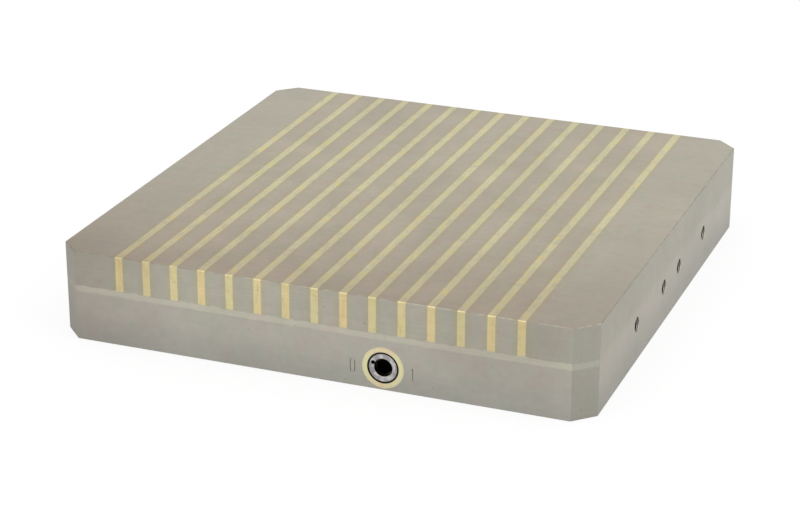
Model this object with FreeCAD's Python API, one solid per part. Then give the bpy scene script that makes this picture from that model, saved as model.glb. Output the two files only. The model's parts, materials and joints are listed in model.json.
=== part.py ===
"""Permanent magnetic chuck with parallel poles, worked by a hex key.  Millimetres.

The origin is the middle of the underside and +Z points up.  The drive shaft faces -Y and
the stop-rail holes face +X.  A laminated plate of steel poles and brass strips is brazed
over a hollow steel body.  Inside, a pack of magnets and flux bars slides along X by half a
pole pitch, moved by a crank on the drive shaft: that turns the holding force on and off.
Everything is drawn with the chuck switched off.
"""

import FreeCAD, Part
import math
import os

from FreeCAD import Vector

# ---- outer block ---------------------------------------------------------------------
chuck_length = 300.0            # along X, across the poles
chuck_depth = 300.0             # along Y, along the poles
body_height = 28.0              # hollow steel body
seam_height = 3.5               # brazed seam between the body and the pole plate
plate_height = 19.5             # laminated pole plate
corner_leg = 11.0               # 45 degree cut on the four upright corners
edge_break = 0.4                # small 45 degree break on the outer rims, top and bottom

# ---- pole plate ----------------------------------------------------------------------
pole_width = 11.6
strip_width = 4.45              # brass between two poles
end_pole_width = 35.0           # least width of the plain steel at either end

# ---- hollow body ---------------------------------------------------------------------
front_wall = 20.0
rear_wall = 20.0
floor_thickness = 6.0
pocket_corner_radius = 5.0
glide_width = 12.0              # bronze strips let into the floor
glide_thickness = 2.0
glide_depth = 1.0               # how deep a strip is let into the floor
glide_end_gap = 8.0
glide_count = 3
glide_spacing = 90.0

# ---- magnet pack ---------------------------------------------------------------------
flux_bar_width = 9.1
magnet_drop = 1.0               # a magnet's top is this much lower than the bars
drive_rail_thickness = 13.0
rear_rail_thickness = 8.0
pack_plate_thickness = 2.5
pack_end_gap = 1.0              # left at either end of the pack's travel
sliding_gap = 0.1               # running gap on the pack's flat sides
rail_screw_diameter = 4.0
rail_screw_head = 8.0
rail_screw_bite = 10.0          # depth in a flux bar
rail_screw_bars = (1, 4, 8, 12, -2)    # counted along +X

# ---- drive shaft, its bush and its stop ----------------------------------------------
shaft_place = 38.0              # along X
bush_diameter = 23.0
bush_floor = 1.0                # steel left under the bush
journal_diameter = 16.0
nose_step = 0.15                # the nose is this much smaller in radius
nose_length = 1.6
nose_break = 0.2
seal_width = 0.75               # gap round the nose, filled by the seal
seal_recess = 0.8
seal_thickness = 0.7
key_size = 8.0                  # across the flats of the hex socket
key_depth = 12.0
socket_mouth_diameter = 10.0
socket_mouth_depth = 2.5
socket_mouth_break = 0.3
dot_diameter = 1.7              # drilled index dot on the shaft's face
dot_depth = 0.8
dot_radius = 6.0
dot_angle = 156.0               # seen from the front, from +X towards +Z
crank_pin_diameter = 6.0
crank_pin_length = 12.4
stop_screw_diameter = 5.0
stop_screw_inset = 4.0          # from the inner end of the bush
stop_screw_recess = 0.4
stop_screw_key = 2.5
stop_screw_key_depth = 2.0
stop_dog_diameter = 3.6
stop_groove_depth = 2.0
stop_groove_width = 4.0
running_clearance = 0.025       # radial, at the bush and at the crank pin
fitting_clearance = 0.05        # radial, between a screw and its hole
turning_gap = 0.1               # between the stop screw and the shaft
block_size = 9.0                # slide block, square in section
block_length = 11.0
block_break = 0.5
block_front_gap = 0.4
block_lift_gap = 0.3            # over the block at the top of its path

# ---- fasteners and holes -------------------------------------------------------------
plate_screw_diameter = 6.0
plate_screw_head = 10.0
plate_screw_head_height = 6.0
plate_screw_key = 5.0
plate_screw_key_depth = 3.0
plate_screw_bite = 10.0         # depth in a pole
plate_screw_tip_gap = 1.0       # tapped hole left free past a screw's tip
plate_screw_sink = 0.8          # the head's top lies this deep
plate_screw_side_inset = 8.0    # from the left and right faces
plate_screw_side_end = 50.0     # from the front and rear faces
shank_clearance = 0.3           # radial, round a shank in the body
head_clearance = 0.5            # radial, round a head in its counterbore
dowel_diameter = 6.0
dowel_length = 24.0
dowel_bite = 9.0                # depth in the end pole
dowel_inset = 22.0              # from the left and right faces
dowel_clearance = 0.01
rail_hole_diameter = 8.0        # M8 holes for a stop rail
rail_hole_depth = 14.0
rail_hole_height = 22.0
rail_hole_mouth = 8.8
rail_hole_inner_spacing = 32.0
rail_hole_outer_spacing = 140.0
drill_point_angle = 118.0

# ---- worked out from the sizes above -------------------------------------------------
right_face = chuck_length / 2.0
rear_face = chuck_depth / 2.0
plate_floor = body_height + seam_height
chuck_top = plate_floor + plate_height
pole_pitch = pole_width + strip_width
strip_count = int((chuck_length - 2.0 * end_pole_width - strip_width) / pole_pitch) + 1
stroke = pole_pitch / 2.0
crank_offset = stroke / 2.0

pack_half = strip_count * pole_pitch / 2.0 + flux_bar_width / 2.0
pack_left = -pack_half - stroke
pack_right = pack_half - stroke
pocket_left = pack_left - pack_end_gap
pocket_right = pack_half + pack_end_gap
pocket_front = -rear_face + front_wall
pocket_rear = rear_face - rear_wall
pack_front = pocket_front + sliding_gap
pack_rear = pocket_rear - sliding_gap
bars_front = pack_front + drive_rail_thickness
bars_rear = pack_rear - rear_rail_thickness
glide_top = floor_thickness - glide_depth + glide_thickness
pack_floor = glide_top + sliding_gap
bars_floor = pack_floor + pack_plate_thickness
pack_top = plate_floor - sliding_gap

shaft_height = bush_floor + bush_diameter / 2.0
journal_radius = journal_diameter / 2.0
nose_radius = journal_radius - nose_step
stop_place = pocket_front - stop_screw_inset

# The crank moves by the cosine of its turn, while the pack's travel is even with the turn.
# This is the most that the block leads or trails the pack, so its notch is wider by it.
lag_angle = math.asin(2.0 / math.pi)
drive_lag = crank_offset * (2.0 * lag_angle / math.pi + math.cos(lag_angle) - 1.0)

X_AXIS = Vector(1, 0, 0)
Y_AXIS = Vector(0, 1, 0)
Z_AXIS = Vector(0, 0, 1)


def box(low, high):
    """A block between two opposite corners."""
    size = Vector(*high) - Vector(*low)
    return Part.makeBox(size.x, size.y, size.z, Vector(*low))


def rod(radius, start, axis, length):
    """A round bar from its start point along an axis."""
    return Part.makeCylinder(radius, length, Vector(*start), axis)


def cone(start_radius, end_radius, start, axis, length):
    """A cone, or a cone's stump, from its start point along an axis."""
    return Part.makeCone(start_radius, end_radius, length, Vector(*start), axis)


def hex_bar(across_flats, start, axis, side_axis, length, corner_angle=0.0):
    """A hexagonal bar along an axis, with a corner at an angle from side_axis."""
    radius = across_flats / math.sqrt(3.0)
    corners = []
    for index in range(6):
        turn = FreeCAD.Rotation(axis, corner_angle + 60.0 * index)
        corners.append(Vector(*start) + turn.multVec(side_axis) * radius)
    corners.append(corners[0])
    return Part.Face(Part.makePolygon(corners)).extrude(axis * length)


def octagon(half_x, half_y, leg, height):
    """A rectangle with its four corners cut at 45 degrees, as a closed wire."""
    points = [
        (half_x - leg, -half_y),
        (half_x, -half_y + leg),
        (half_x, half_y - leg),
        (half_x - leg, half_y),
        (-half_x + leg, half_y),
        (-half_x, half_y - leg),
        (-half_x, -half_y + leg),
        (-half_x + leg, -half_y),
    ]
    corners = [Vector(x, y, height) for x, y in points]
    return Part.makePolygon(corners + corners[:1])


def outer_block():
    """The whole chuck's outline, with its cut corners and broken rims."""
    blank = Part.Face(octagon(right_face, rear_face, corner_leg, 0.0)).extrude(Z_AXIS * chuck_top)
    rims = [edge for edge in blank.Edges if abs(edge.Vertexes[0].Z - edge.Vertexes[1].Z) < edge_break]
    return blank.makeChamfer(edge_break, rims)


def pocket(bottom, top):
    """The pocket for the magnet pack, with the round corners that a milling cutter leaves."""
    blank = box((pocket_left, pocket_front, bottom), (pocket_right, pocket_rear, top))
    uprights = [edge for edge in blank.Edges if abs(edge.Vertexes[0].Z - edge.Vertexes[1].Z) > sliding_gap]
    return blank.makeFillet(pocket_corner_radius, uprights)


def on_shaft(y):
    """The point of the shaft's axis at a place along Y."""
    return (shaft_place, y, shaft_height)


# ---- where the repeated pieces stand -------------------------------------------------
def strip_centres():
    """X of each brass strip's middle."""
    return [(index - (strip_count - 1) / 2.0) * pole_pitch for index in range(strip_count)]


def pole_centres():
    """X of each inner pole's middle, between two strips."""
    return [x + pole_pitch / 2.0 for x in strip_centres()[:-1]]


def flux_bar_centres():
    """X of each flux bar's middle while the chuck is off, half a pitch left of the poles."""
    first = -strip_count * pole_pitch / 2.0 - stroke
    return [first + index * pole_pitch for index in range(strip_count + 1)]


def plate_screw_places():
    """X and Y of the screws that hold the pole plate down on the body's four walls."""
    poles = pole_centres()
    wall_poles = (poles[1], poles[(len(poles) - 1) // 2], poles[-2])
    front_row = [(x, -rear_face + front_wall / 2.0) for x in wall_poles]
    rear_row = [(x, rear_face - rear_wall / 2.0) for x in wall_poles]
    side_x = right_face - plate_screw_side_inset
    side_y = rear_face - plate_screw_side_end
    sides = [(x, y) for x in (-side_x, side_x) for y in (-side_y, 0.0, side_y)]
    return front_row + rear_row + sides


def dowel_places():
    """X and Y of the two dowels, in opposite corners."""
    x = right_face - dowel_inset
    return [(-x, -rear_face + front_wall / 2.0), (x, rear_face - rear_wall / 2.0)]


def glide_places():
    """Y of each bronze glide strip's middle."""
    return [(index - (glide_count - 1) / 2.0) * glide_spacing for index in range(glide_count)]


def rail_hole_places():
    """Y of the four tapped holes for a stop rail."""
    halves = (rail_hole_inner_spacing / 2.0, rail_hole_outer_spacing / 2.0)
    return sorted([-half for half in halves] + list(halves))


def rail_screw_places():
    """X of the screws that clamp the two rails on the flux bars."""
    bars = flux_bar_centres()
    return [bars[index] for index in rail_screw_bars]


# ---- holes ---------------------------------------------------------------------------
def plate_screw_hole(x, y):
    """A counterbored hole from the underside, ending as a tapped hole in the pole plate."""
    seat = plate_screw_sink + plate_screw_head_height
    shank_radius = plate_screw_diameter / 2.0
    counterbore = rod(plate_screw_head / 2.0 + head_clearance, (x, y, 0.0), Z_AXIS, seat)
    passage = rod(shank_radius + shank_clearance, (x, y, seat), Z_AXIS, plate_floor - seat)
    screw_room = plate_screw_bite + plate_screw_tip_gap
    thread = rod(shank_radius + fitting_clearance, (x, y, plate_floor), Z_AXIS, screw_room)
    return [counterbore, passage, thread]


def dowel_hole(x, y):
    """A blind hole through the seam, from the body into the end pole."""
    start = (x, y, plate_floor + dowel_bite - dowel_length)
    return rod(dowel_diameter / 2.0 + dowel_clearance, start, Z_AXIS, dowel_length)


def wall_holes():
    """Every upright hole that crosses the body, the seam and the pole plate."""
    holes = [dowel_hole(x, y) for x, y in dowel_places()]
    for x, y in plate_screw_places():
        holes += plate_screw_hole(x, y)
    return holes


def rail_hole(y):
    """A blind tapped hole in the right face, with a drill point and a broken mouth."""
    radius = rail_hole_diameter / 2.0
    flare = rail_hole_mouth / 2.0 - radius
    bottom = right_face - rail_hole_depth
    point = radius / math.tan(math.radians(drill_point_angle / 2.0))
    drilled = rod(radius, (bottom, y, rail_hole_height), X_AXIS, rail_hole_depth)
    tip = cone(radius, 0.0, (bottom, y, rail_hole_height), X_AXIS * -1.0, point)
    mouth = cone(radius, radius + flare, (right_face - flare, y, rail_hole_height), X_AXIS, flare)
    return [drilled, tip, mouth]


def stop_screw_hole():
    """The upright hole under the shaft that takes the stop screw."""
    radius = stop_screw_diameter / 2.0 + fitting_clearance
    return rod(radius, (shaft_place, stop_place, 0.0), Z_AXIS, shaft_height)


# ---- the fixed pieces ----------------------------------------------------------------
def lower_body():
    """The hollow body, milled from one block of steel."""
    slab = box((-right_face, -rear_face, 0.0), (right_face, rear_face, body_height))
    tools = [pocket(floor_thickness, chuck_top)]
    tools += wall_holes()
    tools.append(rod(bush_diameter / 2.0, on_shaft(-rear_face), Y_AXIS, front_wall))
    tools.append(stop_screw_hole())
    for y in rail_hole_places():
        tools += rail_hole(y)
    for y in glide_places():
        tools.append(glide_strip(y))
    return outer_block().common(slab).cut(tools)


def seam_frame():
    """The brazed seam, a thin frame that runs round the top of the body's walls."""
    layer = box((-right_face, -rear_face, body_height), (right_face, rear_face, plate_floor))
    return outer_block().common(layer).cut([pocket(0.0, chuck_top)] + wall_holes())


def plate_slice(left, right):
    """The part of the pole plate between two places along X, with the screw holes in it."""
    slab = box((left, -rear_face, plate_floor), (right, rear_face, chuck_top))
    piece = outer_block().common(slab)
    holes = [hole for hole in wall_holes() if hole.BoundBox.XMax > left and hole.BoundBox.XMin < right]
    return piece.cut(holes) if holes else piece


def pole_plate():
    """The end poles, the inner poles and the brass strips, by name."""
    strips = strip_centres()
    edge = strips[-1] + strip_width / 2.0
    pieces = {
        "end_pole_left": plate_slice(-right_face, -edge),
        "end_pole_right": plate_slice(edge, right_face),
    }
    for number, x in enumerate(strips, 1):
        pieces[f"brass_strip_{number:02d}"] = plate_slice(x - strip_width / 2.0, x + strip_width / 2.0)
    for number, x in enumerate(pole_centres(), 1):
        pieces[f"pole_bar_{number:02d}"] = plate_slice(x - pole_width / 2.0, x + pole_width / 2.0)
    return pieces


def glide_strip(y):
    """One bronze strip let into the pocket's floor, for the pack to slide on."""
    left = pocket_left + glide_end_gap
    right = pocket_right - glide_end_gap
    bottom = floor_thickness - glide_depth
    return box((left, y - glide_width / 2.0, bottom), (right, y + glide_width / 2.0, glide_top))


def front_bush():
    """The brass bush in the front wall, with a stepped mouth for the seal."""
    bush = rod(bush_diameter / 2.0, on_shaft(-rear_face), Y_AXIS, front_wall)
    bore = rod(journal_radius + running_clearance, on_shaft(-rear_face), Y_AXIS, front_wall)
    mouth = rod(nose_radius + seal_width, on_shaft(-rear_face), Y_AXIS, nose_length)
    return bush.cut([bore, mouth, stop_screw_hole()])


def shaft_seal():
    """The rubber ring at the bottom of the bush's mouth."""
    start = on_shaft(-rear_face + seal_recess)
    ring = rod(nose_radius + seal_width, start, Y_AXIS, seal_thickness)
    return ring.cut(rod(nose_radius + running_clearance, start, Y_AXIS, seal_thickness))


def stop_screw():
    """The dog-point screw that keeps the shaft in and ends its turn at half a turn."""
    groove_floor = shaft_height - journal_radius + stop_groove_depth
    shoulder = shaft_height - journal_radius - turning_gap
    start = (shaft_place, stop_place, stop_screw_recess)
    dog_start = (shaft_place, stop_place, shoulder)
    thread = rod(stop_screw_diameter / 2.0, start, Z_AXIS, shoulder - stop_screw_recess)
    dog = rod(stop_dog_diameter / 2.0, dog_start, Z_AXIS, groove_floor - turning_gap - shoulder)
    key = hex_bar(stop_screw_key, start, Z_AXIS, X_AXIS, stop_screw_key_depth)
    return thread.fuse(dog).removeSplitter().cut(key)


def plate_screw(x, y):
    """A socket-head screw that holds the pole plate from below."""
    seat = plate_screw_sink + plate_screw_head_height
    start = (x, y, plate_screw_sink)
    head = rod(plate_screw_head / 2.0, start, Z_AXIS, plate_screw_head_height)
    outer_rim = [edge for edge in head.Edges if edge.BoundBox.ZMax < plate_screw_sink + edge_break]
    head = head.makeChamfer(edge_break, outer_rim)
    shank = rod(plate_screw_diameter / 2.0, (x, y, seat), Z_AXIS, plate_floor + plate_screw_bite - seat)
    key = hex_bar(plate_screw_key, start, Z_AXIS, X_AXIS, plate_screw_key_depth)
    return head.fuse(shank).removeSplitter().cut(key)


def dowel(x, y):
    """A hardened dowel that sets the pole plate's place on the body."""
    start = (x, y, plate_floor + dowel_bite - dowel_length)
    return rod(dowel_diameter / 2.0, start, Z_AXIS, dowel_length)


# ---- the drive -----------------------------------------------------------------------
def drive_shaft():
    """The shaft: a nose with a hex socket and an index dot, a journal and a crank pin."""
    nose = rod(nose_radius, on_shaft(-rear_face), Y_AXIS, nose_length)
    front_rim = [edge for edge in nose.Edges if edge.BoundBox.YMax < nose_break - rear_face]
    nose = nose.makeChamfer(nose_break, front_rim)
    journal = rod(journal_radius, on_shaft(-rear_face + nose_length), Y_AXIS, front_wall - nose_length)
    pin_start = (shaft_place - crank_offset, pocket_front, shaft_height)
    pin = rod(crank_pin_diameter / 2.0, pin_start, Y_AXIS, crank_pin_length)
    solid = nose.fuse([journal, pin]).removeSplitter()
    return solid.cut([key_socket(), index_dot(), stop_groove()])


def key_socket():
    """The hex socket with its round mouth."""
    radius = socket_mouth_diameter / 2.0
    flare = socket_mouth_break
    front = on_shaft(-rear_face)
    hexagon = hex_bar(key_size, front, Y_AXIS, X_AXIS, key_depth, -dot_angle)
    mouth = rod(radius, front, Y_AXIS, socket_mouth_depth)
    broken_edge = cone(radius + flare, radius, front, Y_AXIS, flare)
    return hexagon.fuse([mouth, broken_edge])


def index_dot():
    """The drilled dot on the shaft's face that points at the off or the on mark."""
    angle = math.radians(dot_angle)
    radius = dot_diameter / 2.0
    x = shaft_place + dot_radius * math.cos(angle)
    z = shaft_height + dot_radius * math.sin(angle)
    drilled = rod(radius, (x, -rear_face, z), Y_AXIS, dot_depth)
    point = cone(radius, 0.0, (x, -rear_face + dot_depth, z), Y_AXIS, radius)
    return drilled.fuse(point)


def stop_groove():
    """Half a ring round the journal: its two ends meet the stop screw at off and at on."""
    front = stop_place - stop_groove_width / 2.0
    ring = rod(bush_diameter / 2.0, on_shaft(front), Y_AXIS, stop_groove_width)
    core = rod(journal_radius - stop_groove_depth, on_shaft(front), Y_AXIS, stop_groove_width)
    left = shaft_place - stop_dog_diameter / 2.0 - turning_gap
    rear = front + stop_groove_width
    right_half = box((left, front, 0.0), (shaft_place + bush_diameter, rear, shaft_height + bush_diameter))
    return ring.cut(core).common(right_half)


def slide_block():
    """The bronze block that turns on the crank pin and pushes the pack to and fro."""
    middle = shaft_place - crank_offset
    half = block_size / 2.0
    front = pocket_front + block_front_gap
    low = (middle - half, front, shaft_height - half)
    high = (middle + half, front + block_length, shaft_height + half)
    blank = box(low, high)
    long_edges = [edge for edge in blank.Edges if edge.BoundBox.YLength > block_size]
    blank = blank.makeChamfer(block_break, long_edges)
    bore_radius = crank_pin_diameter / 2.0 + running_clearance
    return blank.cut(rod(bore_radius, (middle, front, shaft_height), Y_AXIS, block_length))


# ---- the magnet pack -----------------------------------------------------------------
def rail_screw(x, front, axis, clearance=0.0):
    """A countersunk screw through a rail into a flux bar, with its head flush."""
    radius = rail_screw_diameter / 2.0 + clearance
    head_radius = rail_screw_head / 2.0 + clearance
    rail = drive_rail_thickness if axis == Y_AXIS else rear_rail_thickness
    start = (x, front, (bars_floor + pack_top) / 2.0)
    head = cone(head_radius, radius, start, axis, head_radius - radius)
    return head.fuse(rod(radius, start, axis, rail + rail_screw_bite)).removeSplitter()


def rail_screws(clearance=0.0):
    """All the screws of both rails, or the holes for them where a clearance is given."""
    rear_axis = Y_AXIS * -1.0
    fronts = [rail_screw(x, pack_front, Y_AXIS, clearance) for x in rail_screw_places()]
    rears = [rail_screw(x, pack_rear, rear_axis, clearance) for x in rail_screw_places()]
    return fronts + rears


def rail_blank(front, rear, outer_y):
    """A cross rail of the pack, with its outer corners cut clear of the pocket's round ones."""
    blank = box((pack_left, front, pack_floor), (pack_right, rear, pack_top))
    uprights = []
    for edge in blank.Edges:
        place = edge.CenterOfMass
        if edge.BoundBox.ZLength > sliding_gap and abs(place.y - outer_y) < sliding_gap:
            uprights.append(edge)
    return blank.makeChamfer(pocket_corner_radius, uprights)


def drive_rail():
    """The front rail, with the upright notch that the slide block works in."""
    middle = shaft_place - crank_offset
    half = block_size / 2.0 + drive_lag + sliding_gap
    top = shaft_height + crank_offset + block_size / 2.0 + block_lift_gap
    notch = box((middle - half, pack_front, pack_floor), (middle + half, bars_front, top))
    return rail_blank(pack_front, bars_front, pack_front).cut([notch] + rail_screws(fitting_clearance))


def rear_rail():
    """The rear rail of the pack."""
    return rail_blank(bars_rear, pack_rear, pack_rear).cut(rail_screws(fitting_clearance))


def pack_plate():
    """The thin aluminium plate under the bars and the magnets."""
    return box((pack_left, bars_front, pack_floor), (pack_right, bars_rear, bars_floor))


def flux_bars():
    """The steel bars that carry the magnets' flux up to the poles."""
    half = flux_bar_width / 2.0
    holes = rail_screws(fitting_clearance)
    bars = []
    for x in flux_bar_centres():
        bar = box((x - half, bars_front, bars_floor), (x + half, bars_rear, pack_top))
        near = [hole for hole in holes if hole.BoundBox.XMax > x - half and hole.BoundBox.XMin < x + half]
        bars.append(bar.cut(near) if near else bar)
    return Part.makeCompound(bars)


def magnets():
    """The ferrite magnets, one row in each gap between two flux bars."""
    half = (pole_pitch - flux_bar_width) / 2.0
    rows = []
    for x in flux_bar_centres()[:-1]:
        middle = x + pole_pitch / 2.0
        low = (middle - half, bars_front, bars_floor)
        high = (middle + half, bars_rear, pack_top - magnet_drop)
        rows.append(box(low, high))
    return Part.makeCompound(rows)


def build():
    """Every piece of the chuck, by node name."""
    pieces = {
        "lower_body": lower_body(),
        "seam_frame": seam_frame(),
        "plate_screws": Part.makeCompound([plate_screw(x, y) for x, y in plate_screw_places()]),
        "dowel_pins": Part.makeCompound([dowel(x, y) for x, y in dowel_places()]),
        "glide_strips": Part.makeCompound([glide_strip(y) for y in glide_places()]),
        "front_bush": front_bush(),
        "shaft_seal": shaft_seal(),
        "stop_screw": stop_screw(),
        "drive_shaft": drive_shaft(),
        "slide_block": slide_block(),
        "drive_rail": drive_rail(),
        "rear_rail": rear_rail(),
        "pack_plate": pack_plate(),
        "flux_bars": flux_bars(),
        "magnets": magnets(),
        "rail_screws": Part.makeCompound(rail_screws()),
    }
    pieces.update(pole_plate())
    return pieces


def main():
    """Build the pieces and write one STEP file for each."""
    os.makedirs("parts", exist_ok=True)
    for name, shape in build().items():
        shape.exportStep(f"parts/{name}.step")
        print(f"{name}: {len(shape.Solids)} solid(s), {shape.Volume:.0f} mm3")


main()
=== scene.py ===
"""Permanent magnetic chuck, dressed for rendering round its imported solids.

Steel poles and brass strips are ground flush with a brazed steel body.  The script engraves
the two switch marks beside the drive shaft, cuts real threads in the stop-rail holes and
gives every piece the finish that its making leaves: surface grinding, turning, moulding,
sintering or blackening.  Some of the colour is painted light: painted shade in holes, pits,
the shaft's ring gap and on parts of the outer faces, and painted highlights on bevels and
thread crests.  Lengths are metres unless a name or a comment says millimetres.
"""

import json
import logging
import math
from collections.abc import Iterable
from dataclasses import dataclass, field
from enum import Enum
from typing import Any

import bmesh
import bpy
import numpy as np
from mathutils import Matrix, Vector


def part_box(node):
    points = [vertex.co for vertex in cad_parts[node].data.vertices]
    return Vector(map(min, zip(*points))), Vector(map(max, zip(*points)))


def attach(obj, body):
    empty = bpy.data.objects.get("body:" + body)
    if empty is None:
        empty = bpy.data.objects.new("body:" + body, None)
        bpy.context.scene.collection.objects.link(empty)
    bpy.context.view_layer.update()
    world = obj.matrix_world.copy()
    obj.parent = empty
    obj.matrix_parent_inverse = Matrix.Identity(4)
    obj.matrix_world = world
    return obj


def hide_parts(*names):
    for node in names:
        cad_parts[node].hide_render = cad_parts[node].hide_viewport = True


LOG = logging.getLogger("chuck")
MM = 0.001
Socket = bpy.types.NodeSocket
Node = bpy.types.Node
WHITE = (1.0, 1.0, 1.0, 1.0)


class Body(Enum):
    """The bodies that move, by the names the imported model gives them."""

    HOUSING = "housing"
    SHAFT = "shaft"
    BLOCK = "block"
    PACK = "magnet_pack"


# ---- small helpers -------------------------------------------------------------------
def linear(colour: str) -> tuple[float, float, float, float]:
    """Turns an sRGB hex colour into linear red, green, blue and full alpha.

    Args:
        colour: Six hex digits.

    Returns:
        Four numbers from 0 to 1.
    """
    values = np.array([int(colour[at : at + 2], 16) for at in (0, 2, 4)]) / 255.0
    curve = np.where(values <= 0.04045, values / 12.92, ((values + 0.055) / 1.055) ** 2.4)
    return (*map(float, curve), 1.0)


def add(tree: bpy.types.NodeTree, kind: str, inputs: dict[int | str, Any] | tuple = (), **settings: Any) -> Node:
    """Adds one node with its settings and links.

    Args:
        tree: The tree that gets the node.
        kind: The node's type, without Blender's ShaderNode in front.
        inputs: What goes into the node, in order or by name or place: a value, a socket, or a
            node, which stands for its first output.
        settings: The node's own properties.

    Returns:
        The new node.
    """
    node = tree.nodes.new("ShaderNode" + kind)
    for name, value in settings.items():
        setattr(node, name, value)
    for key, value in inputs.items() if isinstance(inputs, dict) else enumerate(inputs):
        if isinstance(value, bpy.types.Node):
            value = value.outputs[0]
        if isinstance(value, bpy.types.NodeSocket):
            tree.links.new(value, node.inputs[key])
        else:
            node.inputs[key].default_value = value
    return node


def coats(
    tree: bpy.types.NodeTree, colour: Any, *layers: tuple[Node, str], blend: str = "MIX"
) -> Socket:
    """Lays coats of colour over one another.

    Args:
        tree: The tree that gets the nodes.
        colour: The undermost colour, linear or from a socket.
        layers: The share of each coat and its sRGB hex colour, undermost first.
        blend: How each coat meets what is under it.

    Returns:
        The finished colour.
    """
    for share, coat in layers:
        both = {0: share, 6: colour, 7: linear(coat)}
        colour = add(tree, "Mix", both, data_type="RGBA", blend_type=blend).outputs[2]
    return colour


def grid_faces(rows: int, columns: int, close_rows: bool, close_columns: bool) -> np.ndarray:
    """Quads that join neighbouring points of a grid, numbered row by row.

    Args:
        rows: Number of rows of points.
        columns: Number of points in a row.
        close_rows: Whether the last row joins the first.
        close_columns: Whether the last column joins the first.

    Returns:
        An array of four point numbers for each quad.
    """
    index = np.arange(rows * columns).reshape(rows, columns)
    down, across = np.roll(index, -1, axis=0), np.roll(index, -1, axis=1)
    both = np.roll(down, -1, axis=1)
    quads = np.stack([index, down, both, across], axis=-1)
    last_row = rows if close_rows else rows - 1
    last_column = columns if close_columns else columns - 1
    return quads[:last_row, :last_column].reshape(-1, 4)


def new_piece(name: str, points: np.ndarray, faces: Iterable[Any], smooth_below: float = 35.0) -> bpy.types.Object:
    """Makes a mesh object in the scene from points and faces, and turns its faces outwards.

    Args:
        name: The piece's name.
        points: Places in metres, one row each.
        faces: Point numbers of each face.
        smooth_below: Edges that turn by less than this angle in degrees are shaded smooth.

    Returns:
        The new object, at the origin.
    """
    mesh = bpy.data.meshes.new(name)
    mesh.from_pydata(points.tolist(), [], [list(map(int, face)) for face in faces])
    shape = bmesh.new()
    shape.from_mesh(mesh)
    bmesh.ops.recalc_face_normals(shape, faces=shape.faces)
    shape.to_mesh(mesh)
    shape.free()
    mesh.shade_smooth()
    mesh.set_sharp_from_angle(angle=math.radians(smooth_below))
    piece = bpy.data.objects.new(name, mesh)
    bpy.context.scene.collection.objects.link(piece)
    return piece


# ---- finishes ------------------------------------------------------------------------
@dataclass(frozen=True)
class Place:
    """Sockets that tell a pattern where a point lies and which way it faces.

    The point is in millimetres on the resting chuck, and a facing runs from 0 to 1.
    """

    point: Node
    x: Socket
    y: Socket
    z: Socket
    facing_x: Socket
    facing_y: Socket
    facing_z: Socket

    @classmethod
    def on(cls, tree: bpy.types.NodeTree) -> "Place":
        """Adds the nodes that read the piece's own coordinates.

        Args:
            tree: The tree that gets the nodes.

        Returns:
            The sockets.
        """
        coordinates = add(tree, "TexCoord").outputs
        point = add(tree, "VectorMath", {0: coordinates["Object"], "Scale": 1.0 / MM}, operation="SCALE")
        facing = add(tree, "VectorMath", (coordinates["Normal"],), operation="ABSOLUTE")
        return cls(
            point, *add(tree, "SeparateXYZ", (point,)).outputs, *add(tree, "SeparateXYZ", (facing,)).outputs
        )


@dataclass(frozen=True)
class Look:
    """What a pattern hands to the shader: colour, and roughness and height from 0 to 1."""

    colour: Node | Socket
    roughness: Node
    height: Node
    tangent: Node | None = None


@dataclass(frozen=True)
class Finish:
    """What every finish shares, and how it ends in a shader.

    Colours are sRGB hex values; relief is in millimetres.
    """

    name: str
    colour: str
    drift: str
    roughness: float
    relief: float = 0.004
    metallic: float = 1.0
    anisotropy: float = 0.0
    roughness_spread: float = 0.07

    def material(self) -> bpy.types.Material:
        """Builds the finish once and returns it each time after that.

        Returns:
            The finished material.
        """
        known = bpy.data.materials.get(self.name)
        if known is not None:
            return known
        material = bpy.data.materials.new(self.name)
        material.use_nodes = True
        tree = material.node_tree
        tree.nodes.clear()
        look = self.pattern(tree, Place.on(tree))
        relief = {"Strength": 1.0, "Distance": self.relief * MM, "Height": look.height}
        surface = {
            "Base Color": look.colour,
            "Metallic": self.metallic,
            "Roughness": look.roughness,
            "Anisotropic": self.anisotropy,
            "Normal": add(tree, "Bump", relief),
        }
        if look.tangent is not None:
            surface["Tangent"] = look.tangent
        add(tree, "OutputMaterial", (add(tree, "BsdfPrincipled", surface),))
        return material

    def pattern(self, tree: bpy.types.NodeTree, place: Place) -> Look:
        """Lays out the finish's own colour, gloss and relief."""
        raise NotImplementedError

    def gloss(self, tree: bpy.types.NodeTree, marks: Node) -> Node:
        """Roughness that strays round the finish's own value as its marks do."""
        low, high = self.roughness - self.roughness_spread, self.roughness + self.roughness_spread
        return add(tree, "MapRange", (marks, 0.25, 0.75, low, high))


@dataclass(frozen=True)
class Outline:
    """The chuck's outer planes, its cut corners and its seam, in millimetres."""

    half_x: float = 150.0
    half_y: float = 150.0
    top: float = 51.0
    corner_leg: float = 11.0
    seam_low: float = 28.0
    seam_high: float = 31.5


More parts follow.
